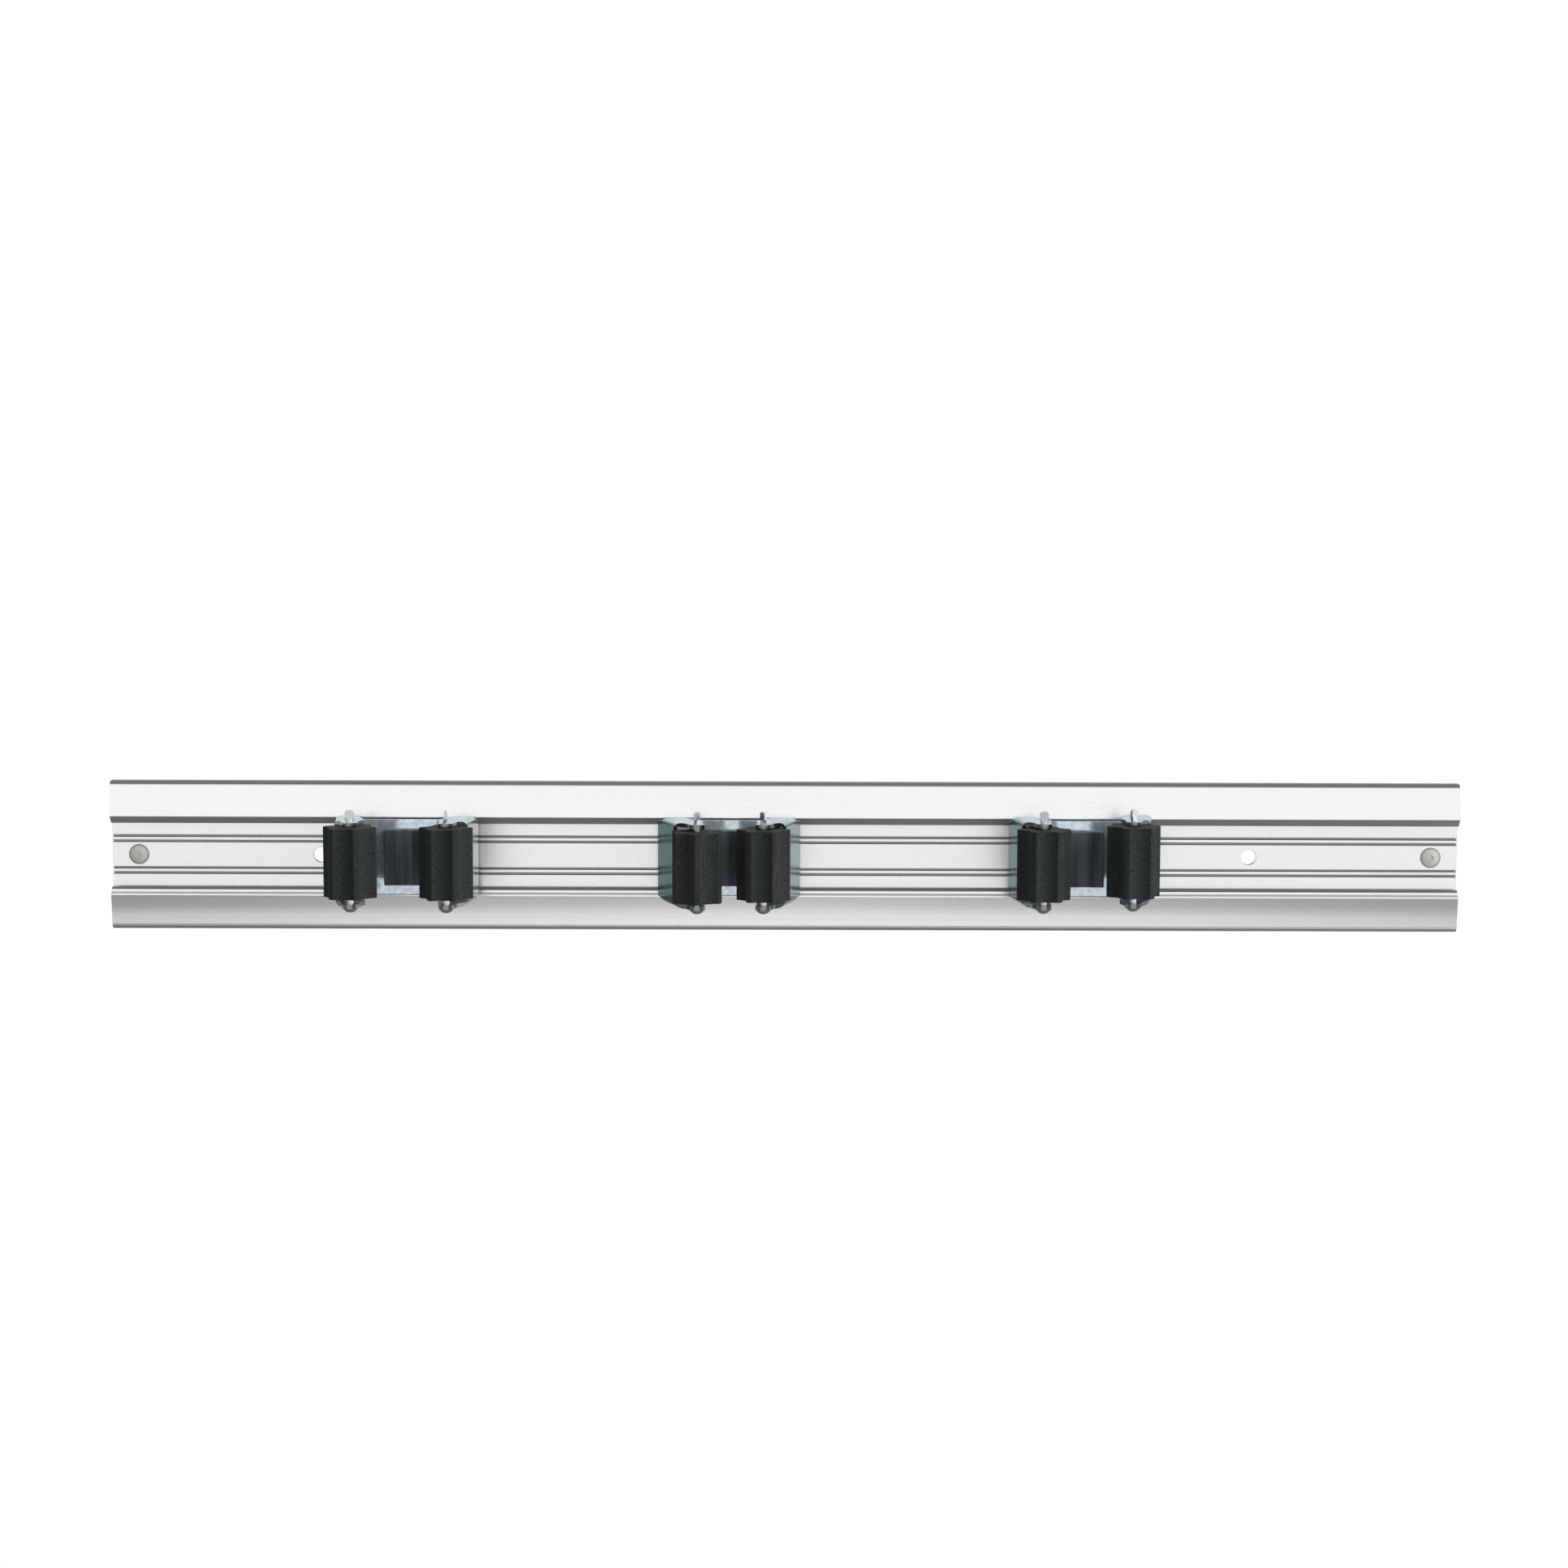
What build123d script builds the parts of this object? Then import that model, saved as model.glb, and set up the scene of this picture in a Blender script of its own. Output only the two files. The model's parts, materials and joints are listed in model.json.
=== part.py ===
"""Tool holder rail: an aluminium channel with three sliding spring clips, each with two rubber rollers.

Millimetres. X runs along the rail, Z is up, the front faces -Y.
The origin is the centre of the rail's back, on the wall plane.
"""

import os
from math import cos, radians, sin

from build123d import *

# Rail section
rail_length = 500.0
rail_height = 55.3
floor_thickness = 2.0
slot_height = 1.5
slot_width = 31.2
mouth_width = 23.8
throat_width = 29.2
lip_tip = 0.35
lip_rise = 2.5
rail_wall = 1.5
band_drop = 1.5
band_radius = 134.0
band_edge_radius = 2.2
throat_edge_radius = 0.4
groove_pair_spacing = 11.9
groove_gap = 1.95
groove_width = 0.85
groove_depth = 0.8

# Holes and end stops along the rail
wall_hole_diameter = 5.7
wall_hole_inset = 77.5
stop_inset = 9.85
stop_head_diameter = 7.6
stop_head_height = 0.8
stop_shank_diameter = 4.0
stop_flush_diameter = 6.0
stop_flush_depth = 1.0
stop_core_diameter = 2.2
stop_core_depth = 0.3

# Spring clip
sheet = 1.5
web_height = 28.0
bend_spacing = 47.0
bend_radius = 1.2
arm_lean = 18.0
pin_spacing = 24.0
pin_reach = 27.0
ear_rise = 1.6
ear_root = 6.0
ear_root_width = 7.5
ear_width = 10.9
ear_shoulder = 8.5
ear_lobe_radius = 2.9
ear_corner_radius = 3.0
ear_neck_length = 3.0
ear_neck_radius = 5.0
ear_bend_radius = 1.8
flare_start = 2.0
lap_thickness = 0.72
arm_opening_limit = 25.0
lap_margin = 3.0

# Slider, buffer and base screws
slider_length = 44.0
slider_corner_radius = 1.5
buffer_height = 20.5
buffer_width = 17.0
buffer_depth = 4.5
buffer_hollow = 0.9
buffer_edge_radius = 0.8
screw_spacing = 32.0
screw_shank_diameter = 3.0
screw_head_diameter = 5.6
screw_head_height = 1.7
screw_recess_width = 0.9
screw_recess_length = 3.2
screw_recess_depth = 0.9

# Roller, bush and pin
roller_radius = 9.7
flute_radius = 7.6
ridge_count = 6
ridge_half_angle = 7.0
bush_diameter = 5.0
pin_diameter = 2.5
pin_head_diameter = 5.4
pin_head_height = 1.6
blade_width = 3.4
blade_thickness = 1.1
blade_height = 4.4
blade_neck = 1.6
blade_tip_radius = 1.2
blade_edge_radius = 0.35

# Clearances
slide_clearance = 0.2
side_clearance = 0.4
running_clearance = 0.05
roller_end_gap = 1.3
roller_wall_gap = 0.5
hole_clearance = 0.1
seat_clearance = 0.02

# Places of the holders along the rail
left_place = -139.5
middle_place = -20.7
right_place = 109.3

# Each holder: place, then for its left and right arm: opening, rise above the web's middle, roller turn,
# roller lift as a share of the end gap, blade turn
holders = {
    "left": (left_place, (11.4, 0.6, 22.0, 0.95, 7.0), (11.4, 0.45, 27.0, 0.92, 95.0)),
    "middle": (middle_place, (-2.0, 0.0, 3.0, 0.1, 68.0), (2.0, 0.2, -33.0, 0.7, -62.0)),
    "right": (right_place, (8.5, 0.8, 33.0, 0.6, -5.0), (9.4, 1.7, -21.0, 0.95, 48.0)),
}

# Spacings along the rail
wall_hole_spacing = rail_length - 2 * wall_hole_inset
stop_spacing = rail_length - 2 * stop_inset

# Depths measured forward from the wall plane
lip_back = floor_thickness + slot_height
lip_front = lip_back + lip_tip
rail_front = lip_front + lip_rise
lip_slope = lip_rise / (throat_width / 2 - mouth_width / 2)
web_back = lip_front + lip_slope * (web_height / 2 - mouth_width / 2) + slide_clearance
web_front = web_back + sheet
bend_depth = web_front + bend_radius
slider_front = lip_back - slide_clearance
slider_back = floor_thickness + slide_clearance

# Heights between and over the ears
ear_span = web_height + 2 * ear_rise
ear_gap = ear_span - 2 * sheet
roller_height = ear_gap - 2 * roller_end_gap

# Radii round the bend, from its inner face to its outer face
bend_outer = bend_radius + sheet
lap_inner = bend_radius + lap_thickness
lap_outer = lap_inner + running_clearance

# Pin place in the arm's own axes: across is outward from the bend centre, along runs up the arm
pin_across = (pin_spacing - bend_spacing) / 2 * cos(radians(arm_lean)) + (pin_reach - bend_radius) * sin(
    radians(arm_lean)
)
pin_along = (pin_reach - bend_radius) * cos(radians(arm_lean)) - (pin_spacing - bend_spacing) / 2 * sin(
    radians(arm_lean)
)
arm_length = pin_along - roller_radius - roller_wall_gap

os.makedirs("parts", exist_ok=True)


def polar(radius, angle):
    """Point at a radius and an angle in degrees."""
    return (radius * cos(radians(angle)), radius * sin(radians(angle)))


def save(builder, name):
    """Label a finished piece and write its file."""
    builder.part.label = name
    export_step(builder.part, f"parts/{name}.step")


def front_plane(x, depth):
    """Plane facing the front, depth forward of the wall."""
    return Plane(origin=(x, -depth, 0), x_dir=(1, 0, 0), z_dir=(0, -1, 0))


def plan_plane(x):
    """Level plane of one holder: local x along the rail, local y forward from the web's front face."""
    return Plane(origin=(x, -web_front, 0), x_dir=(1, 0, 0), z_dir=(0, 0, -1))


def arm_plane(x, side, opening, rise):
    """Level plane of one arm at its bend centre: local x outward, local y along the arm."""
    lean = radians(arm_lean - opening)
    origin = (x + side * bend_spacing / 2, -bend_depth, rise)
    return Plane(origin=origin, x_dir=(side * cos(lean), -sin(lean), 0), z_dir=(0, 0, -side))


def pin_point(x, side, opening, rise):
    """Place of a roller pin's axis."""
    return arm_plane(x, side, opening, rise).from_local_coords(Vector(pin_across, pin_along, 0))


def pin_plane(x, side, opening, height, turn):
    """Level plane on a roller pin's axis, turned from facing the front."""
    centre = pin_point(x, side, opening, height)
    turn = radians(turn)
    return Plane(origin=centre, x_dir=(cos(turn), sin(turn), 0), z_dir=(0, 0, 1))


# Rail: one half of the section is drawn, with its hollow behind the band, and mirrored
with BuildPart() as rail:
    band_top = rail_height / 2
    band_inner = throat_width / 2
    cavity_bottom = slot_width / 2 + rail_wall
    cavity_top = band_top - rail_wall
    with BuildSketch(Plane.YZ) as section:
        with BuildLine() as outline:
            Polyline(
                (-rail_front, band_inner),
                (-lip_front, mouth_width / 2),
                (-lip_back, mouth_width / 2),
                (-lip_back, slot_width / 2),
                (-floor_thickness, slot_width / 2),
                (-floor_thickness, 0),
                (0, 0),
                (0, band_top),
                (-rail_front + band_drop, band_top),
            )
            RadiusArc((-rail_front + band_drop, band_top), (-rail_front, band_inner), band_radius)
        make_face()
        band_corner = section.vertices().sort_by_distance((-rail_front + band_drop, band_top))[0]
        fillet(band_corner, band_edge_radius)
        throat_corner = section.vertices().sort_by_distance((-rail_front, band_inner))[0]
        fillet(throat_corner, throat_edge_radius)
        with BuildLine() as hollow:
            Polyline(
                (-rail_front + band_drop + rail_wall, cavity_top),
                (0, cavity_top),
                (0, cavity_bottom),
                (-rail_front + rail_wall, cavity_bottom),
            )
            RadiusArc(
                (-rail_front + band_drop + rail_wall, cavity_top),
                (-rail_front + rail_wall, cavity_bottom),
                band_radius,
            )
        make_face(mode=Mode.SUBTRACT)
        with Locations(
            (-floor_thickness + groove_depth / 2, (groove_pair_spacing - groove_gap) / 2),
            (-floor_thickness + groove_depth / 2, (groove_pair_spacing + groove_gap) / 2),
        ):
            Rectangle(groove_depth, groove_width, mode=Mode.SUBTRACT)
        mirror(about=Plane.XZ)
    extrude(amount=rail_length / 2, both=True)
    with BuildSketch(front_plane(0, floor_thickness)) as holes:
        with GridLocations(wall_hole_spacing, 0, 2, 1):
            Circle(wall_hole_diameter / 2)
        with GridLocations(stop_spacing, 0, 2, 1):
            Circle(stop_shank_diameter / 2 + seat_clearance)
    extrude(amount=-floor_thickness, mode=Mode.SUBTRACT)
    for stop_side in (-1, 1):
        with BuildSketch(front_plane(stop_side * stop_spacing / 2, 0)) as flush_mouth:
            Circle(stop_flush_diameter / 2 + seat_clearance)
        with BuildSketch(front_plane(stop_side * stop_spacing / 2, stop_flush_depth)) as flush_throat:
            Circle(stop_shank_diameter / 2 + seat_clearance)
        loft(mode=Mode.SUBTRACT)
save(rail, "rail")

# End stop rivets: low domed head on the floor, shank set flush in the back, broken core in the middle
with BuildPart() as end_stop_rivets:
    head_sphere = (stop_head_diameter**2 / 4 + stop_head_height**2) / (2 * stop_head_height)
    for stop_side in (-1, 1):
        stop_axis = Plane(origin=(stop_side * stop_spacing / 2, 0, 0), x_dir=(1, 0, 0), z_dir=(0, 0, 1))
        with BuildSketch(stop_axis) as rivet_half:
            with BuildLine() as rivet_line:
                Polyline(
                    (0, -floor_thickness - stop_head_height),
                    (0, 0),
                    (stop_flush_diameter / 2, 0),
                    (stop_shank_diameter / 2, -stop_flush_depth),
                    (stop_shank_diameter / 2, -floor_thickness),
                    (stop_head_diameter / 2, -floor_thickness),
                )
                RadiusArc(
                    (stop_head_diameter / 2, -floor_thickness),
                    (0, -floor_thickness - stop_head_height),
                    head_sphere,
                )
            make_face()
        revolve(axis=Axis((stop_side * stop_spacing / 2, 0, 0), (0, 1, 0)))
        head_top = front_plane(stop_side * stop_spacing / 2, floor_thickness + stop_head_height)
        with BuildSketch(head_top) as core_mark:
            Circle(stop_core_diameter / 2)
        extrude(amount=-stop_core_depth, mode=Mode.SUBTRACT)
save(end_stop_rivets, "end_stop_rivets")


def make_base(name, x):
    """Web of a spring clip, with the inner layer of both bends and the screw holes."""
    lap_start = -90
    lap_sweep = arm_lean - arm_opening_limit - lap_margin - lap_start
    with BuildPart() as base:
        with BuildSketch(plan_plane(x)) as profile:
            with Locations((0, -sheet / 2)):
                Rectangle(bend_spacing, sheet)
            for side in (-1, 1):
                centre = (side * bend_spacing / 2, bend_radius)
                with BuildLine() as lap:
                    inner = CenterArc(centre, bend_radius, lap_start, side * lap_sweep)
                    outer = CenterArc(centre, lap_inner, lap_start, side * lap_sweep)
                    Line(inner @ 0, outer @ 0)
                    Line(inner @ 1, outer @ 1)
                make_face()
        extrude(amount=web_height / 2, both=True)
        with BuildSketch(front_plane(x, web_front)) as screw_holes:
            with GridLocations(screw_spacing, 0, 2, 1):
                Circle(screw_shank_diameter / 2 + hole_clearance)
        extrude(amount=-sheet, mode=Mode.SUBTRACT)
    save(base, f"{name}_holder_base")


def make_slider(name, x):
    """T-shaped block that runs behind the rail's lips and backs the web."""
    with BuildPart() as slider:
        with BuildSketch(front_plane(x, slider_back)) as flange:
            RectangleRounded(slider_length, slot_width - 2 * side_clearance, slider_corner_radius)
        extrude(amount=slider_front - slider_back)
        with BuildSketch(front_plane(x, slider_front)) as neck:
            Rectangle(slider_length, mouth_width - 2 * side_clearance)
        extrude(amount=web_back - slider_front)
        with BuildSketch(front_plane(x, web_back)) as screw_holes:
            with GridLocations(screw_spacing, 0, 2, 1):
                Circle(screw_shank_diameter / 2 + seat_clearance)
        extrude(amount=slider_back - web_back, mode=Mode.SUBTRACT)
    save(slider, f"{name}_holder_slider")


def make_screws(name, x):
    """Two pan head screws from the web into the slider."""
    with BuildPart() as screws:
        with BuildSketch(front_plane(x, web_front)) as shanks:
            with GridLocations(screw_spacing, 0, 2, 1):
                Circle(screw_shank_diameter / 2)
        extrude(amount=slider_back - web_front)
        with BuildSketch(front_plane(x, web_front)) as heads:
            with GridLocations(screw_spacing, 0, 2, 1):
                Circle(screw_head_diameter / 2)
        extrude(amount=screw_head_height)
        rims = screws.faces().sort_by(Axis.Y)[0:2].edges()
        fillet(rims, screw_head_height / 2)
        with BuildSketch(front_plane(x, web_front + screw_head_height)) as recess:
            with GridLocations(screw_spacing, 0, 2, 1):
                Rectangle(screw_recess_length, screw_recess_width)
                Rectangle(screw_recess_width, screw_recess_length)
        extrude(amount=-screw_recess_depth, mode=Mode.SUBTRACT)
    save(screws, f"{name}_holder_screws")


def make_buffer(name, x):
    """Rubber block on the web, with a shallow hollow down its front."""
    half = buffer_width / 2
    with BuildPart() as buffer:
        with BuildSketch(plan_plane(x)) as profile:
            with BuildLine() as outline:
                Polyline((-half, buffer_depth), (-half, 0), (half, 0), (half, buffer_depth))
                ThreePointArc((-half, buffer_depth), (0, buffer_depth - buffer_hollow), (half, buffer_depth))
            make_face()
        extrude(amount=buffer_height / 2, both=True)
        corners = buffer.edges().filter_by(Axis.Z).group_by(Axis.Y)[0]
        fillet(corners, buffer_edge_radius)
    save(buffer, f"{name}_holder_buffer")


def make_arm(name, tag, x, side, opening, rise):
    """Leaning side wall with the outer layer of its bend and an ear at the top and the bottom."""
    plane = arm_plane(x, side, opening, rise)
    lap_plane = arm_plane(x, side, opening, 0)
    cross_plane = Plane(origin=plane.origin, x_dir=plane.x_dir, z_dir=plane.y_dir)
    side_plane = Plane(origin=lap_plane.origin, x_dir=plane.y_dir, z_dir=plane.x_dir * -side)
    lap_end = arm_opening_limit + lap_margin - 90 - arm_lean
    shoulder = pin_along - ear_shoulder
    lobe_edges = (ear_lobe_radius, -ear_lobe_radius)
    shoulders = [(bend_outer, shoulder), (bend_outer - ear_width, shoulder)]
    necks = [(pin_across + edge, pin_along - ear_neck_length) for edge in lobe_edges]
    tips = [(pin_across + edge, pin_along) for edge in lobe_edges]
    roots = [(bend_outer - ear_root_width, ear_root), (bend_radius, ear_root)]
    feet = [(bend_radius, 0), (bend_outer, 0)]
    with BuildPart() as arm:
        with BuildSketch(cross_plane) as channel:
            with Locations((bend_outer - ear_width, 0)):
                Rectangle(2 * ear_width, ear_span)
            fillet(channel.vertices().group_by(Axis.X)[-1], ear_bend_radius)
            with Locations((bend_radius - ear_width, 0)):
                Rectangle(2 * ear_width, ear_gap, mode=Mode.SUBTRACT)
        extrude(amount=pin_along + ear_lobe_radius)
        with BuildSketch(plane) as plan:
            with BuildLine() as outline:
                Polyline(shoulders[0], necks[0], *tips, necks[1], shoulders[1], *roots, *feet, close=True)
            make_face()
            fillet([plan.vertices().sort_by_distance(point)[0] for point in necks], ear_neck_radius)
            fillet([plan.vertices().sort_by_distance(point)[0] for point in shoulders], ear_corner_radius)
            with Locations((pin_across, pin_along)):
                Circle(ear_lobe_radius)
                Circle(pin_diameter / 2 + seat_clearance, mode=Mode.SUBTRACT)
        extrude(amount=ear_span, both=True, mode=Mode.INTERSECT)
        with BuildSketch(cross_plane.offset(arm_length)) as gap:
            Rectangle(4 * ear_width, ear_gap)
        extrude(amount=pin_along, mode=Mode.SUBTRACT)
        with BuildSketch(lap_plane) as lap:
            with BuildLine() as lap_line:
                inner = CenterArc((0, 0), lap_outer, 0, lap_end)
                outer = CenterArc((0, 0), bend_outer, 0, lap_end)
                Line(inner @ 0, outer @ 0)
                Line(inner @ 1, outer @ 1)
            make_face()
        extrude(amount=web_height / 2, both=True)
        with BuildSketch(side_plane) as flare:
            for edge in (-1, 1):
                with BuildLine() as flare_line:
                    Polyline(
                        (-2 * bend_outer, edge * web_height / 2),
                        (flare_start, edge * web_height / 2),
                        (ear_root, rise + edge * ear_span / 2),
                        (ear_root, edge * ear_span),
                        (-2 * bend_outer, edge * ear_span),
                        close=True,
                    )
                make_face()
        extrude(amount=2 * bend_outer, both=True, mode=Mode.SUBTRACT)
    save(arm, f"{name}_holder_arm_{tag}")


def make_pin(name, tag, x, side, opening, rise, turn):
    """Roller pin: domed head under the lower ear, shank, and a flattened blade above the upper ear."""
    centre = pin_point(x, side, opening, rise)
    axis_plane = Plane(origin=centre, x_dir=(1, 0, 0), z_dir=(0, -1, 0))
    shank_radius = pin_diameter / 2
    head_radius = pin_head_diameter / 2
    head_sphere = (head_radius**2 + pin_head_height**2) / (2 * pin_head_height)
    ear_top = rise + ear_span / 2
    blade_length = blade_height - blade_neck
    with BuildPart() as pin:
        with BuildSketch(axis_plane) as half:
            with BuildLine() as outline:
                Polyline(
                    (0, -ear_span / 2 - pin_head_height),
                    (0, ear_span / 2),
                    (shank_radius, ear_span / 2),
                    (shank_radius, -ear_span / 2),
                    (head_radius, -ear_span / 2),
                )
                RadiusArc((head_radius, -ear_span / 2), (0, -ear_span / 2 - pin_head_height), head_sphere)
            make_face()
        revolve(axis=Axis(centre, (0, 0, 1)))
        with BuildSketch(pin_plane(x, side, opening, ear_top, turn)) as neck_start:
            Circle(shank_radius)
        neck_top = pin_plane(x, side, opening, ear_top + blade_neck, turn)
        with BuildSketch(neck_top) as neck_end:
            RectangleRounded(blade_width, blade_thickness, blade_edge_radius)
        loft()
        with BuildSketch(Plane(origin=neck_top.origin, x_dir=neck_top.x_dir, z_dir=-neck_top.y_dir)) as blade:
            with Locations((0, blade_length / 2)):
                Rectangle(blade_width, blade_length)
            fillet(blade.vertices().group_by(Axis.Y)[-1], blade_tip_radius)
        extrude(amount=blade_thickness / 2, both=True)
    save(pin, f"{name}_holder_pin_{tag}")


def make_roller(name, tag, x, side, opening, height, turn):
    """Rubber roller with ridges and hollow flutes round a plain bore."""
    plane = pin_plane(x, side, opening, height, turn)
    pitch = 360 / ridge_count
    with BuildPart() as roller:
        with BuildSketch(plane) as profile:
            with BuildLine() as outline:
                for k in range(ridge_count):
                    ridge = k * pitch - 90
                    ridge_end = polar(roller_radius, ridge + ridge_half_angle)
                    next_start = polar(roller_radius, ridge + pitch - ridge_half_angle)
                    ThreePointArc(
                        polar(roller_radius, ridge - ridge_half_angle), polar(roller_radius, ridge), ridge_end
                    )
                    ThreePointArc(ridge_end, polar(flute_radius, ridge + pitch / 2), next_start)
            make_face()
            Circle(bush_diameter / 2 + seat_clearance, mode=Mode.SUBTRACT)
        extrude(amount=roller_height / 2, both=True)
    save(roller, f"{name}_holder_roller_{tag}")


def make_bush(name, tag, x, side, opening, height):
    """Rigid sleeve in the roller, which turns with it on the pin."""
    with BuildPart() as bush:
        with BuildSketch(pin_plane(x, side, opening, height, 0)) as ring:
            Circle(bush_diameter / 2)
            Circle(pin_diameter / 2 + running_clearance, mode=Mode.SUBTRACT)
        extrude(amount=roller_height / 2, both=True)
    save(bush, f"{name}_holder_bush_{tag}")


for holder_name, (holder_x, *arm_settings) in holders.items():
    make_base(holder_name, holder_x)
    make_slider(holder_name, holder_x)
    make_screws(holder_name, holder_x)
    make_buffer(holder_name, holder_x)
    for tag, side, (opening, rise, roller_turn, lift_share, blade_turn) in zip("lr", (-1, 1), arm_settings):
        roller_place = rise + lift_share * roller_end_gap
        make_arm(holder_name, tag, holder_x, side, opening, rise)
        make_pin(holder_name, tag, holder_x, side, opening, rise, blade_turn)
        make_roller(holder_name, tag, holder_x, side, opening, roller_place, roller_turn)
        make_bush(holder_name, tag, holder_x, side, opening, roller_place)
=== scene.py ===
"""Looks of the tool holder rail: finishes, sheet bends, studio and camera, in metres."""

import json
from math import cos, pi, radians, sin

import bpy
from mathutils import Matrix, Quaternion, Vector


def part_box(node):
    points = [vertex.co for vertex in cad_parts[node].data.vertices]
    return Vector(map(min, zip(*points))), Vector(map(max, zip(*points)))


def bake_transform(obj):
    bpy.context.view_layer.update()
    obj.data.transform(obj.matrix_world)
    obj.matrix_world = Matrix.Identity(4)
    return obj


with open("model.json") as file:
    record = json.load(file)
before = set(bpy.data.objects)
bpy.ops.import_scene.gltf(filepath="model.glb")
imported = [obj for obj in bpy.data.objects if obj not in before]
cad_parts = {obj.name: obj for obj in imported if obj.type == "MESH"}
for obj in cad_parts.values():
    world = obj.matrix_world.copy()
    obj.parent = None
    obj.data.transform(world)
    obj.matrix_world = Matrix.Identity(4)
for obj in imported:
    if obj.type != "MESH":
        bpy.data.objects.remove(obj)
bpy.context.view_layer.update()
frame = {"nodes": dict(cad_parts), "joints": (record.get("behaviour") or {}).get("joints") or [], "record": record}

HOLDERS = ("left", "middle", "right")
SIDES = {"l": -1, "r": 1}

# Camera, set from the ends and edges of the rail in the photo
CAMERA_PLACE = Vector((-0.00146, -1.10, 0.144))
CAMERA_TARGET = Vector((-0.00042, -0.0068, 0.02742))
CAMERA_ANGLE = radians(29.519)
CAMERA_ROLL = radians(0.174)

# Studio floor, and two cards on it that only show in the metal: a pale one under the rail and a darker one
# in front, narrowest in the middle
FLOOR_HEIGHT = -1.2
CARD_HEIGHT = -1.195
FLOOR_EDGE = [(-6.0, 6.0), (-6.0, -6.0), (6.0, -6.0), (6.0, 6.0)]
NEAR_CARD_EDGE = [(-3.0, 2.0), (-3.0, -1.9), (3.0, -1.9), (3.0, 2.0)]
FRONT_CARD_EDGE = [
    (-5.0, -1.9), (-5.0, -4.4), (-1.0, -3.1), (0.0, -2.55), (1.0, -3.1), (5.0, -4.4), (5.0, -1.9),
]
FLOOR_GREY = 0.80
FRONT_CARD_GREY = 0.25
FILL_LEVEL = 0.26

# Soft key lamp from the right: place, size and brightness of its face
KEY_PLACE = Vector((2.2, -1.2, 0.9))
KEY_SIZE = 2.0
KEY_BRIGHTNESS = 6.0

# Edge rounding on each kind of piece, the angle of an edge that gets it, and the angle within which faces
# count as one flat
EDGE_WIDTHS = {
    "rail": 0.00012,
    "base": 0.00018,
    "slider": 0.0002,
    "buffer": 0.0004,
    "arm": 0.00018,
    "roller": 0.00025,
    "bush": 0.0001,
    "screws": 0.0001,
    "pin": 0.0001,
}
EDGE_ANGLE = radians(35)
FLAT_ANGLE = radians(0.4)
WELD_DISTANCE = 1e-6

# Marks along the rail, by height above or below its middle: edge of the channel's mouth, end of the painted
# shade on the lips, a painted shade line, start of the rim, where painted shade on upturned faces begins
MOUTH_EDGE = 0.0119
LIP_SHADE_END = 0.0127
SHADE_LINE = 0.0139
RIM_START = 0.02

# How far these marks fade, half the width of the painted shade line, and how far painted corner shade reaches out
# of a corner
LIP_FADE = 0.0002
RIM_FADE = 0.0005
MOUTH_FADE = 0.0004
SHADE_LINE_HALF = 0.00015
SHADE_LINE_END = 0.0006
RAIL_CORNER_SHADE_REACH = 0.0012
STEEL_CORNER_SHADE_REACH = 0.0008

# Radii between which wear on a roller's ridges, a rivet's painted rim shade and its core mark come and go
RIDGE_WEAR = (0.0092, 0.0097)
RIVET_RIM_SHADE = (0.0028, 0.0037)
RIVET_CORE = (0.0002, 0.0006)

# Dust on the rollers of each holder, and how strong a painted pale reflection lies on the walls of its arms
DUST = {"left": 0.1, "middle": 0.65, "right": 0.12}
WALL_REFLECTION = {"left": 0.7, "middle": 0.0, "right": 0.1}

# Bend of the spring sheet: lean of a relaxed arm, inner radius, thickness, and cover over the laps
ARM_LEAN = radians(18)
BEND_RADIUS = 0.0012
SHEET = 0.0015
BEND_COVER = 0.00004
BEND_EDGE = 0.00015
BEND_STEPS = 28

# Sockets of the mix node that hold colours
MIX_FIRST, MIX_SECOND, MIX_RESULT = 6, 7, 2


def nodes_of(kind):
    """CAD objects whose name holds a kind of piece, such as arm or roller."""
    return [obj for name, obj in frame["nodes"].items() if kind in name.split("_")]


def joint_named(name):
    """One of the frame's joints."""
    return next(joint for joint in frame["joints"] if joint["name"] == name)


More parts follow.
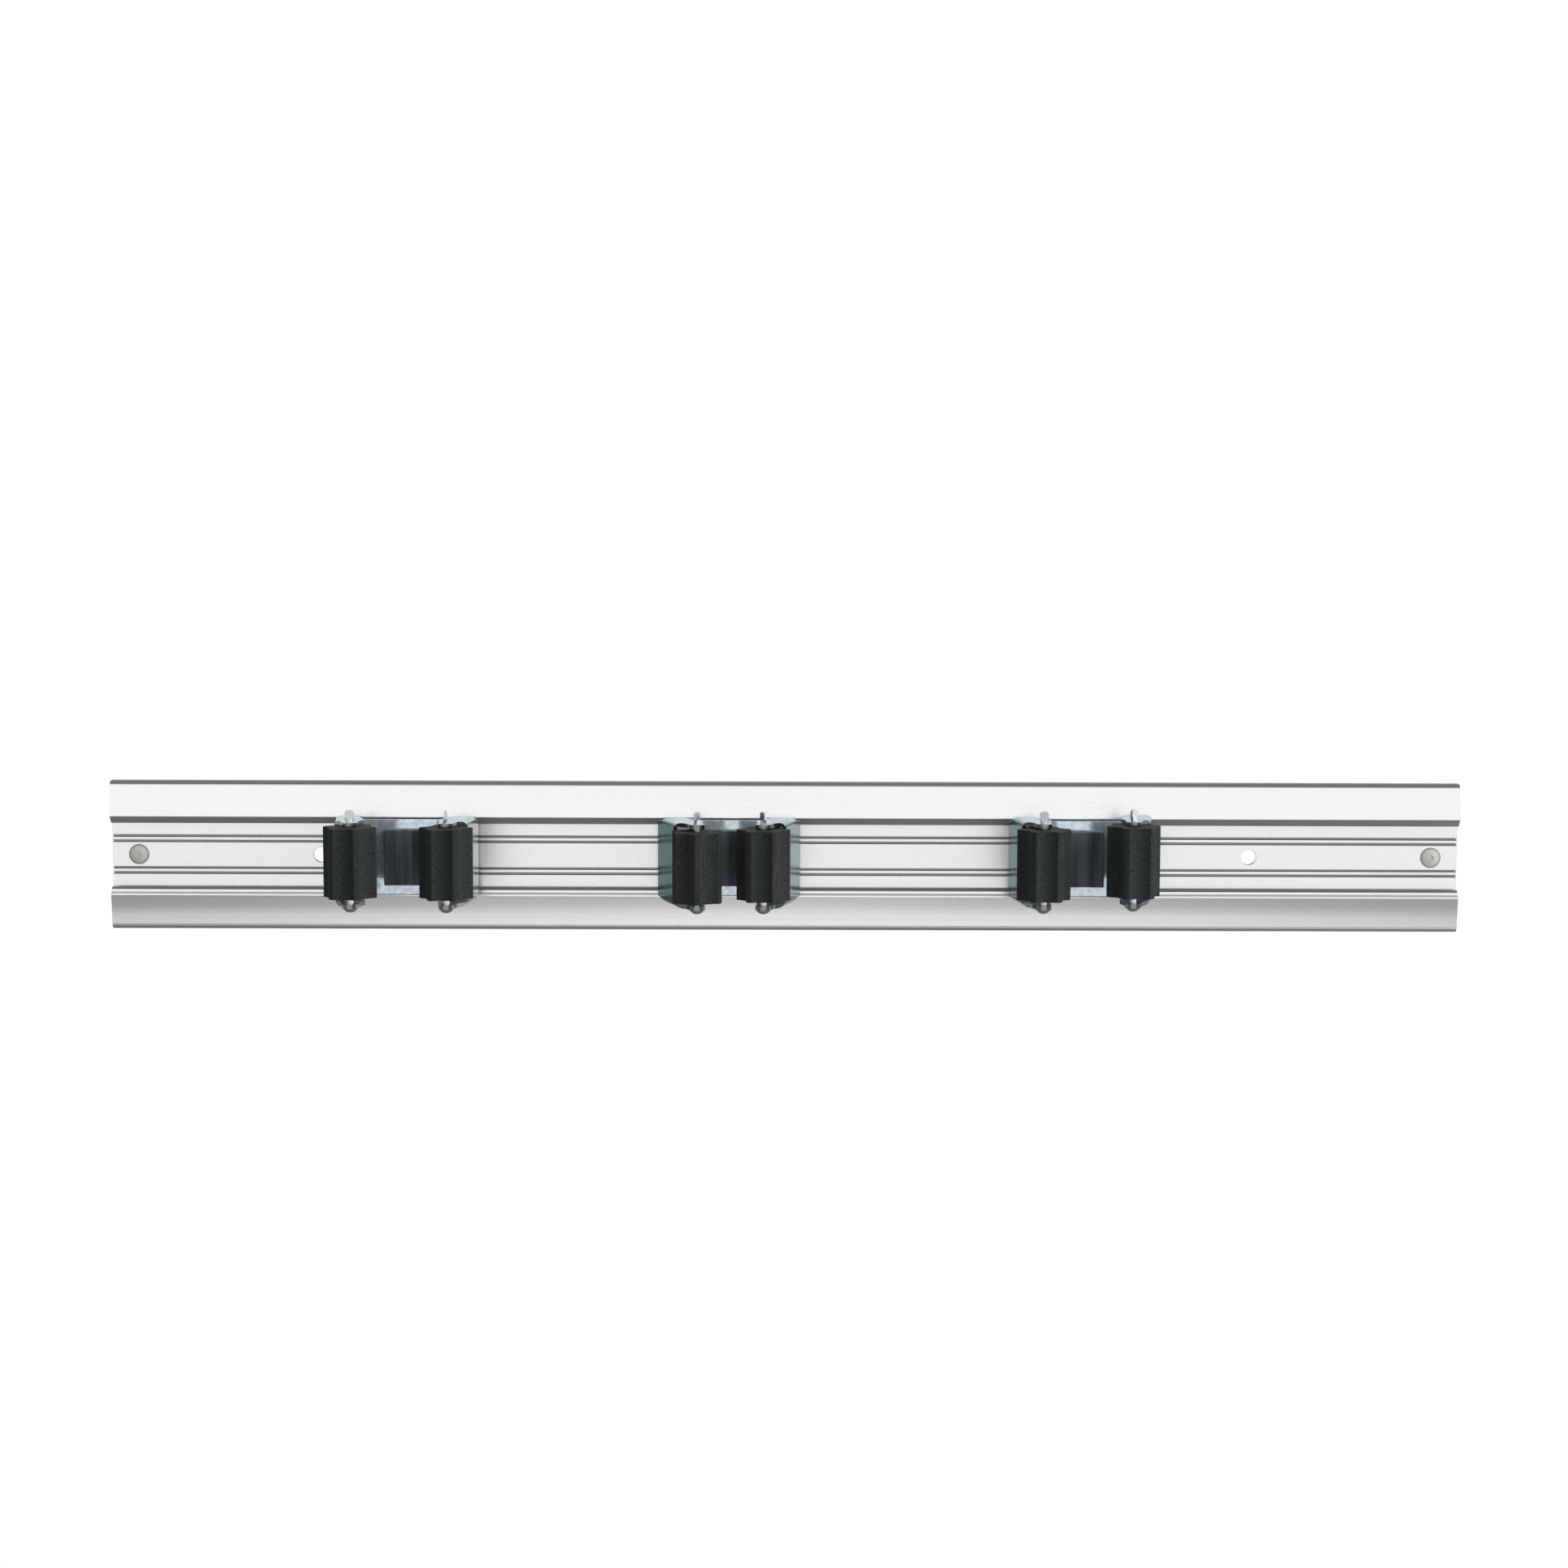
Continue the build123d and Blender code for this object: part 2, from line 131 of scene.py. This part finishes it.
class Finish:
    """A material being built: adds nodes and links them to the surface shader."""

    def __init__(self, name):
        self.material = bpy.data.materials.new(name)
        self.material.use_nodes = True
        self.tree = self.material.node_tree
        self.tree.nodes.clear()
        self.surface = self.tree.nodes.new("ShaderNodeBsdfPrincipled")
        output = self.tree.nodes.new("ShaderNodeOutputMaterial")
        self.tree.links.new(self.surface.outputs[0], output.inputs["Surface"])

    def node(self, kind, **settings):
        """Add a node with its settings."""
        node = self.tree.nodes.new("ShaderNode" + kind)
        for name, value in settings.items():
            setattr(node, name, value)
        return node

    def feed(self, socket, value):
        """Link a socket to an output, or set its value."""
        if isinstance(value, bpy.types.NodeSocket):
            self.tree.links.new(value, socket)
        elif value is not None:
            socket.default_value = value

    def add(self, kind, *inputs, **settings):
        """Add a node, fill its inputs in order with values or links, and return its first output."""
        node = self.node(kind, **settings)
        for socket, value in zip(node.inputs, inputs):
            self.feed(socket, value)
        return node.outputs[0]

    def math(self, operation, *inputs):
        """Arithmetic on one or two values."""
        return self.add("Math", *inputs, operation=operation)

    def place(self):
        """Position on the piece, in the object's own metres."""
        return self.node("TexCoord").outputs["Object"]

    def axes(self, vector):
        """The three parts of a vector."""
        split = self.node("SeparateXYZ")
        self.feed(split.inputs[0], vector)
        return split.outputs

    def facing(self):
        """How far the surface faces along each axis, from -1 to 1."""
        return self.axes(self.node("TexCoord").outputs["Normal"])

    def noise(self, scale, detail=3.0, roughness=0.5):
        """Noise of a scale in cells a metre, one number or one for each axis."""
        spread = scale if isinstance(scale, tuple) else (scale, scale, scale)
        stretched = self.node("Mapping")
        self.feed(stretched.inputs["Vector"], self.place())
        stretched.inputs["Scale"].default_value = spread
        node = self.node("TexNoise")
        self.feed(node.inputs["Vector"], stretched.outputs[0])
        node.inputs["Scale"].default_value = 1.0
        node.inputs["Detail"].default_value = detail
        node.inputs["Roughness"].default_value = roughness
        return node.outputs[0]

    def span(self, value, low, high, new_low=0.0, new_high=1.0):
        """A value's range moved to another range, held at its ends."""
        return self.add("MapRange", value, low, high, new_low, new_high)

    def mix(self, share, first, second):
        """Colour between two colours."""
        node = self.node("Mix", data_type="RGBA")
        self.feed(node.inputs["Factor"], share)
        self.feed(node.inputs[MIX_FIRST], first)
        self.feed(node.inputs[MIX_SECOND], second)
        return node.outputs[MIX_RESULT]

    def distance(self, parts, centres):
        """Distance from a centre, in the plane of some parts of a position."""
        squares = [self.math("POWER", self.math("SUBTRACT", *pair), 2.0) for pair in zip(parts, centres)]
        return self.math("SQRT", self.math("ADD", *squares))

    def crevice(self, reach):
        """How deep a point lies in a corner or groove of its own piece, from 0 to 1."""
        node = self.node("AmbientOcclusion", only_local=True)
        node.inputs["Distance"].default_value = reach
        return self.math("SUBTRACT", 1.0, node.outputs["AO"])

    def bump(self, height, distance, strength=1.0, under=None):
        """Surface normal from a height, over another normal if there is one."""
        node = self.node("Bump")
        self.feed(node.inputs["Height"], height)
        node.inputs["Distance"].default_value = distance
        node.inputs["Strength"].default_value = strength
        if under is not None:
            self.feed(node.inputs["Normal"], under)
        return node.outputs[0]

    def set(self, **values):
        """Set or link the surface shader's sockets; words joined by _ are the socket's name."""
        for name, value in values.items():
            self.feed(self.surface.inputs[name.replace("_", " ")], value)


def colour(red, green, blue):
    """Colour with full cover."""
    return (red, green, blue, 1.0)


def aluminium_finish():
    """Satin extrusion: drawn lines, painted shade (rougher too) on faces turned down and on upturned faces at the
    lips, a line and the rim, sawn ends, painted shade in corners.
    """
    finish = Finish("anodised_aluminium_finish")
    lines = finish.noise((3.0, 1100.0, 1100.0), detail=5.0, roughness=0.6)
    broad = finish.noise((6.0, 50.0, 50.0), detail=2.0)
    grain = finish.noise(1700.0, detail=3.0, roughness=0.7)
    saw = finish.noise((900.0, 2200.0, 60.0), detail=3.0)
    along, _, upright = finish.facing()
    height = finish.math("ABSOLUTE", finish.axes(finish.place())[2])
    # Painted shade on upturned faces at the lips, along a line and on the rim, and on every face turned down
    mouth = finish.span(height, LIP_SHADE_END, LIP_SHADE_END + LIP_FADE, 1.0, 0.0)
    rim = finish.span(height, RIM_START, RIM_START + RIM_FADE)
    off_line = finish.math("ABSOLUTE", finish.math("SUBTRACT", height, SHADE_LINE))
    shade_line = finish.span(off_line, SHADE_LINE_HALF, SHADE_LINE_END, 0.7, 0.0)
    over = finish.math("MAXIMUM", finish.math("MAXIMUM", mouth, rim), shade_line)
    over = finish.math("MULTIPLY", over, finish.span(upright, 0.3, 0.55))
    shaded_and_rough = finish.math("MAXIMUM", over, finish.span(upright, -0.25, -0.5))
    sawn = finish.span(finish.math("ABSOLUTE", along), 0.6, 0.8)
    bright = finish.mix(broad, colour(0.915, 0.925, 0.925), colour(0.945, 0.95, 0.95))
    drawn = finish.mix(finish.span(lines, 0.45, 0.7, 0.0, 0.2), bright, colour(0.82, 0.83, 0.83))
    grained = finish.mix(finish.span(grain, 0.48, 0.72, 0.0, 0.35), drawn, colour(0.76, 0.775, 0.775))
    # Colours of the painted shade, darker on upturned faces than on faces turned down
    painted_shade_below = finish.mix(lines, colour(0.28, 0.285, 0.28), colour(0.38, 0.385, 0.38))
    painted_shade_above = finish.mix(lines, colour(0.14, 0.145, 0.145), colour(0.22, 0.225, 0.22))
    painted_shade = finish.mix(finish.span(upright, -0.1, 0.1), painted_shade_below, painted_shade_above)
    cut = finish.mix(saw, colour(0.42, 0.42, 0.41), colour(0.66, 0.66, 0.65))
    skin = finish.mix(sawn, finish.mix(shaded_and_rough, grained, painted_shade), cut)
    # Painted shade in corners and grooves, near black, from the piece's own occlusion
    corner_shade = finish.span(finish.crevice(RAIL_CORNER_SHADE_REACH), 0.2, 0.5, 0.0, 0.94)
    finish.set(Base_Color=finish.mix(corner_shade, skin, colour(0.065, 0.068, 0.062)), Metallic=0.95)
    satin = finish.span(lines, 0.3, 0.7, 0.18, 0.22)
    floor_satin = finish.span(height, MOUTH_EDGE - MOUTH_FADE, MOUTH_EDGE, 0.33, 0.0)
    satin = finish.math("MAXIMUM", satin, floor_satin)
    finish.set(Roughness=finish.math("MAXIMUM", satin, finish.span(shaded_and_rough, 0.0, 1.0, 0.0, 0.5)))
    fine = finish.bump(grain, 0.00001, 0.5)
    finish.set(Normal=finish.bump(lines, 0.000012, 0.4, fine))
    return finish.material


def zinc_finish(name, tint, second_tint, roughness, metallic=1.0):
    """Bright zinc plating: a patchy tint, rolled streaks, small scuffs and painted shade in corners."""
    finish = Finish(name)
    patches = finish.noise(420.0, detail=4.0, roughness=0.6)
    plated = finish.mix(finish.span(patches, 0.4, 0.6), tint, second_tint)
    return wear_and_shade(finish, plated, roughness, metallic)


def wear_and_shade(finish, plated, roughness, metallic=1.0):
    """Rolled streaks, scuffs and painted shade in corners over a given surface colour."""
    rolled = finish.noise((260.0, 260.0, 2600.0), detail=3.0)
    scuffs = finish.noise((3000.0, 3000.0, 500.0), detail=2.0, roughness=0.7)
    worn = finish.mix(finish.span(scuffs, 0.62, 0.78, 0.0, 0.5), plated, colour(0.16, 0.18, 0.19))
    # Painted shade in corners, from the piece's own occlusion
    corner_shade = finish.span(finish.crevice(STEEL_CORNER_SHADE_REACH), 0.4, 0.9, 0.0, 0.8)
    finish.set(Base_Color=finish.mix(corner_shade, worn, colour(0.07, 0.075, 0.08)), Metallic=metallic)
    finish.set(Roughness=finish.span(rolled, 0.3, 0.7, roughness - 0.06, roughness + 0.08))
    finish.set(Normal=finish.bump(rolled, 0.000018, 0.4))
    return finish.material


def arm_finish():
    """Zinc plating of the arms: pale ears, painted shade on the walls (dark teal facing left, grey facing right),
    a painted pale reflection on some walls, and painted shade on the sheet's edges with a paler painted highlight
    where they face front.
    """
    finish = Finish("zinc_arm_finish")
    sideways, forward, _ = finish.facing()
    patches = finish.noise(170.0, detail=3.0)
    ears = finish.mix(finish.span(patches, 0.35, 0.65), colour(0.46, 0.56, 0.55), colour(0.72, 0.79, 0.77))
    # Painted shade on the walls: dark teal where they face left, a lighter grey where they face right
    teal = finish.mix(patches, colour(0.08, 0.13, 0.138), colour(0.11, 0.168, 0.174))
    steel = finish.mix(patches, colour(0.37, 0.425, 0.45), colour(0.47, 0.51, 0.505))
    wall_shade = finish.mix(finish.span(sideways, -0.2, 0.2), teal, steel)
    # Painted pale reflection over the walls, by the arm's own share
    paleness = finish.node("Attribute", attribute_type="OBJECT", attribute_name="paleness").outputs["Fac"]
    walls = finish.mix(paleness, wall_shade, colour(0.72, 0.70, 0.62))
    plated = finish.mix(finish.span(finish.math("ABSOLUTE", sideways), 0.6, 0.9), ears, walls)
    # Painted shade on the sheet's edges, paler where an edge faces straight front as a painted highlight
    edge_shade = finish.span(finish.math("ABSOLUTE", forward), 0.45, 0.65)
    shear_lines = finish.noise((900.0, 900.0, 90.0), detail=2.0)
    shaded_edge = finish.mix(shear_lines, colour(0.05, 0.05, 0.046), colour(0.12, 0.115, 0.105))
    edge = finish.mix(finish.span(forward, -0.9, -0.97), shaded_edge, colour(0.25, 0.255, 0.235))
    finish.set(Specular_Tint=colour(0.80, 0.88, 0.89))
    return wear_and_shade(finish, finish.mix(edge_shade, plated, edge), 0.2)


def pin_finish():
    """Plated pins: grey shank and blade, painted highlight on faces turned right, painted shade on faces turned
    left, and painted shade on faces turned down, as on the head.
    """
    finish = Finish("pin_steel_finish")
    sideways, _, upright = finish.facing()
    patches = finish.noise(500.0, detail=2.0)
    grey = finish.mix(patches, colour(0.42, 0.44, 0.445), colour(0.55, 0.565, 0.56))
    shaded = finish.mix(finish.span(sideways, -0.3, -0.8), grey, colour(0.18, 0.195, 0.20))
    lit = finish.mix(finish.span(sideways, 0.0, 0.5), shaded, colour(0.82, 0.84, 0.85))
    plated = finish.mix(finish.span(upright, -0.05, -0.3), lit, colour(0.20, 0.20, 0.185))
    return wear_and_shade(finish, plated, 0.24)


def roller_finish():
    """Speckled black rubber, browner where dust and wear lie on the ridges of a used roller."""
    finish = Finish("roller_rubber_finish")
    pin_x, pin_y, use = (
        finish.node("Attribute", attribute_type="OBJECT", attribute_name=name).outputs["Fac"]
        for name in ("pin_x", "pin_y", "dust")
    )
    radius = finish.distance(finish.axes(finish.place())[:2], (pin_x, pin_y))
    rub = finish.noise((700.0, 700.0, 160.0), detail=4.0, roughness=0.65)
    worn = finish.math("MULTIPLY", finish.span(radius, *RIDGE_WEAR), finish.span(rub, 0.4, 0.64))
    dust = finish.math("MULTIPLY", worn, use)
    grain = finish.noise(2300.0, detail=3.0, roughness=0.75)
    speckle = finish.span(grain, 0.36, 0.66)
    black = finish.mix(speckle, colour(0.008, 0.0105, 0.011), colour(0.056, 0.062, 0.063))
    finish.set(Base_Color=finish.mix(dust, black, colour(0.068, 0.056, 0.046)))
    finish.set(Roughness=finish.span(grain, 0.3, 0.7, 0.6, 0.78), Specular_IOR_Level=0.12)
    finish.set(Normal=finish.bump(grain, 0.0001, 0.6))
    return finish.material


def buffer_finish():
    """Black moulded rubber with a fine grain and a painted bluish sheen in soft upright streaks."""
    finish = Finish("buffer_rubber_finish")
    grain = finish.noise(1900.0, detail=4.0, roughness=0.7)
    painted_sheen = finish.noise((330.0, 330.0, 25.0), detail=3.0)
    # Painted bluish sheen in soft upright streaks
    black = finish.mix(finish.span(painted_sheen, 0.35, 0.65), colour(0.034, 0.044, 0.048), colour(0.13, 0.15, 0.162))
    finish.set(Base_Color=black, Roughness=finish.span(grain, 0.3, 0.7, 0.5, 0.7), Specular_IOR_Level=0.3)
    finish.set(Normal=finish.bump(grain, 0.00005, 0.5))
    return finish.material


def rivet_finish(stop_x):
    """Dull aluminium with a fine spun grain, painted shade round the rim and a mark at the broken core."""
    finish = Finish("rivet_aluminium_finish")
    grain = finish.noise(3600.0, detail=3.0, roughness=0.7)
    cloud = finish.noise(500.0, detail=2.0)
    along, _, upright = finish.axes(finish.place())
    radius = finish.distance((finish.math("ABSOLUTE", along), upright), (stop_x, 0.0))
    grey = finish.mix(cloud, colour(0.61, 0.615, 0.58), colour(0.69, 0.695, 0.65))
    # Painted shade round the rim of the head
    rim_shaded = finish.mix(finish.span(radius, *RIVET_RIM_SHADE, 0.0, 0.9), grey, colour(0.24, 0.25, 0.24))
    core = finish.span(radius, *RIVET_CORE, 0.4, 0.0)
    finish.set(Base_Color=finish.mix(core, rim_shaded, colour(0.30, 0.295, 0.265)), Metallic=0.35)
    finish.set(Roughness=finish.span(grain, 0.3, 0.7, 0.5, 0.66))
    finish.set(Normal=finish.bump(grain, 0.00003, 0.5))
    return finish.material


def nylon_finish(name, dark, pale):
    """Dark moulded nylon with faint flow marks."""
    finish = Finish(name)
    grain = finish.noise(2400.0, detail=3.0, roughness=0.6)
    flow = finish.noise((40.0, 120.0, 120.0), detail=2.0)
    finish.set(Base_Color=finish.mix(flow, dark, pale))
    finish.set(Roughness=finish.span(grain, 0.3, 0.7, 0.42, 0.58))
    finish.set(Normal=finish.bump(grain, 0.00003, 0.5))
    return finish.material


def round_edges(obj, width):
    """Small bevels on a CAD object's sharp edges, with each flat face made whole first."""
    weld = obj.modifiers.new("weld", "WELD")
    weld.merge_threshold = WELD_DISTANCE
    flat = obj.modifiers.new("flat", "DECIMATE")
    flat.decimate_type = "DISSOLVE"
    flat.angle_limit = FLAT_ANGLE
    bevel = obj.modifiers.new("edge", "BEVEL")
    bevel.width = width
    bevel.segments = 2
    bevel.limit_method = "ANGLE"
    bevel.angle_limit = EDGE_ANGLE
    shading = obj.modifiers.new("shading", "WEIGHTED_NORMAL")
    shading.keep_sharp = False


def bend_ring(half_height, cover):
    """Radius and height of the points round the bent sheet's section, with its edges broken."""
    inner, outer, top = BEND_RADIUS - cover, BEND_RADIUS + SHEET + cover, half_height + cover
    upper = [
        (outer, top - BEND_EDGE), (outer - BEND_EDGE, top),
        (inner + BEND_EDGE, top), (inner, top - BEND_EDGE),
    ]
    return upper + [(radius, -height) for radius, height in reversed(upper)]


def make_bend(holder, tag, finish):
    """Bent stretch of the spring sheet, in one piece from a clip's base to one arm."""
    base, arm, side = f"{holder}_holder", f"{holder}_arm_{tag}", SIDES[tag]
    flex = joint_named(f"{arm}_flex")
    centre = Vector(flex["pos_m"])
    base_low, base_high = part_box(f"{base}_base")
    half_height = (base_high[2] - base_low[2]) / 2
    first, last = -pi / 2, ARM_LEAN + flex["springref"]
    points, faces = [], []
    for step in range(BEND_STEPS + 1):
        angle = first + (last - first) * step / BEND_STEPS
        cover = -BEND_COVER if step in (0, BEND_STEPS) else BEND_COVER
        for radius, height in bend_ring(half_height, cover):
            points.append(centre + Vector((side * radius * cos(angle), -radius * sin(angle), height)))
    count = len(points) // (BEND_STEPS + 1)
    for step in range(BEND_STEPS):
        for k in range(count):
            here, there = step * count + k, step * count + (k + 1) % count
            faces.append((here, here + count, there + count, there)[::-side])
    faces.append(tuple(range(count))[::-side])
    faces.append(tuple(range(BEND_STEPS * count, len(points)))[::side])
    mesh = bpy.data.meshes.new(f"{holder}_bend_{tag}")
    mesh.from_pydata(points, [], faces)
    mesh.shade_smooth()
    mesh.set_sharp_from_angle(angle=EDGE_ANGLE)
    mesh.materials.append(finish)
    bend = bpy.data.objects.new(f"{holder}_bend_{tag}", mesh)
    bpy.context.scene.collection.objects.link(bend)
    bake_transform(bend)
    return bend


def white_rays(tree):
    """Share of rays that see plain white: the camera's own, mirrored ones and ones through glass."""
    rays = tree.nodes.new("ShaderNodeLightPath")
    seen = rays.outputs["Is Camera Ray"]
    for kind in ("Is Glossy Ray", "Is Transmission Ray"):
        either = tree.nodes.new("ShaderNodeMath")
        either.operation = "MAXIMUM"
        tree.links.new(seen, either.inputs[0])
        tree.links.new(rays.outputs[kind], either.inputs[1])
        seen = either.outputs[0]
    return seen


def make_ground(name, edge, height, grey):
    """Level stage piece of one matt grey."""
    mesh = bpy.data.meshes.new(name)
    mesh.from_pydata([(x, y, height) for x, y in edge], [], [tuple(range(len(edge)))])
    ground = bpy.data.objects.new(name, mesh)
    bpy.context.scene.collection.objects.link(ground)
    material = bpy.data.materials.new(f"{name}_finish")
    material.use_nodes = True
    tree = material.node_tree
    tree.nodes.clear()
    matt = tree.nodes.new("ShaderNodeBsdfDiffuse")
    matt.inputs["Color"].default_value = colour(grey, grey, grey)
    output = tree.nodes.new("ShaderNodeOutputMaterial")
    tree.links.new(matt.outputs[0], output.inputs["Surface"])
    mesh.materials.append(material)
    return ground


def make_studio():
    """Pale floor in a white surrounding, cards for the metal to mirror, a soft key lamp and a soft fill."""
    floor = make_ground("floor", FLOOR_EDGE, FLOOR_HEIGHT, FLOOR_GREY)
    tree = floor.active_material.node_tree
    output = tree.nodes["Material Output"].inputs["Surface"]
    white = tree.nodes.new("ShaderNodeEmission")
    choice = tree.nodes.new("ShaderNodeMixShader")
    tree.links.new(white_rays(tree), choice.inputs[0])
    tree.links.new(output.links[0].from_socket, choice.inputs[1])
    tree.links.new(white.outputs[0], choice.inputs[2])
    tree.links.new(choice.outputs[0], output)
    near_card = make_ground("near_card", NEAR_CARD_EDGE, CARD_HEIGHT, FLOOR_GREY)
    near_card.visible_camera = False
    front_card = make_ground("front_card", FRONT_CARD_EDGE, CARD_HEIGHT, FRONT_CARD_GREY)
    front_card.visible_camera = False

    world = bpy.data.worlds.new("studio")
    bpy.context.scene.world = world
    world.use_nodes = True
    tree = world.node_tree
    tree.nodes.clear()
    level = tree.nodes.new("ShaderNodeMapRange")
    level.inputs["To Min"].default_value = FILL_LEVEL
    tree.links.new(white_rays(tree), level.inputs["Value"])
    background = tree.nodes.new("ShaderNodeBackground")
    background.inputs["Color"].default_value = colour(1.0, 1.0, 1.0)
    tree.links.new(level.outputs[0], background.inputs["Strength"])
    output = tree.nodes.new("ShaderNodeOutputWorld")
    tree.links.new(background.outputs[0], output.inputs["Surface"])

    light = bpy.data.lights.new("key", "AREA")
    light.size = KEY_SIZE
    light.energy = KEY_BRIGHTNESS * pi * KEY_SIZE**2
    lamp = bpy.data.objects.new("key", light)
    lamp.location = KEY_PLACE
    lamp.rotation_euler = (-KEY_PLACE).to_track_quat("-Z", "Y").to_euler()
    lamp.visible_glossy = False
    bpy.context.scene.collection.objects.link(lamp)


def make_camera():
    """Camera at the photo's place, angle and slight roll."""
    data = bpy.data.cameras.new("camera")
    data.sensor_fit = "HORIZONTAL"
    data.angle = CAMERA_ANGLE
    camera = bpy.data.objects.new("camera", data)
    camera.location = CAMERA_PLACE
    aim = (CAMERA_TARGET - CAMERA_PLACE).to_track_quat("-Z", "Y")
    camera.rotation_mode = "QUATERNION"
    camera.rotation_quaternion = aim @ Quaternion((0, 0, 1), CAMERA_ROLL)
    bpy.context.scene.collection.objects.link(camera)
    bpy.context.scene.camera = camera


make_camera()
make_studio()

stop_low, stop_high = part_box("end_stop_rivets")
finishes = {
    "anodised_aluminium": aluminium_finish(),
    "rivet_aluminium": rivet_finish(stop_high[0] - (stop_high[2] - stop_low[2]) / 2),
    "zinc_steel": zinc_finish(
        "zinc_steel_finish", colour(0.60, 0.74, 0.86), colour(0.90, 0.94, 0.97),
        roughness=0.11, metallic=0.55),
    "pin_steel": pin_finish(),
    "screw_steel": zinc_finish(
        "screw_steel_finish", colour(0.44, 0.46, 0.48), colour(0.54, 0.54, 0.52), roughness=0.3),
    "roller_rubber": roller_finish(),
    "buffer_rubber": buffer_finish(),
    "slider_plastic": nylon_finish(
        "slider_plastic_finish", colour(0.105, 0.107, 0.112), colour(0.14, 0.142, 0.147)),
    "bush_plastic": nylon_finish(
        "bush_plastic_finish", colour(0.02, 0.02, 0.021), colour(0.035, 0.035, 0.036)),
}
for entry in frame["record"]["subparts"]:
    slots = frame["nodes"][entry["node"]].material_slots
    slots[0].material = finishes[entry["material_slot"]]
arm_zinc = arm_finish()
for holder in HOLDERS:
    for tag in SIDES:
        arm = frame["nodes"][f"{holder}_holder_arm_{tag}"]
        arm.material_slots[0].material = arm_zinc
        arm["paleness"] = WALL_REFLECTION[holder]
        roller = frame["nodes"][f"{holder}_holder_roller_{tag}"]
        roller["pin_x"], roller["pin_y"], _ = joint_named(f"{holder}_roller_{tag}_spin")["pos_m"]
        roller["dust"] = DUST[holder]
        make_bend(holder, tag, arm_zinc)["paleness"] = WALL_REFLECTION[holder]
for kind, width in EDGE_WIDTHS.items():
    for obj in nodes_of(kind):
        round_edges(obj, width)

bpy.context.scene.view_settings.view_transform = "Standard"
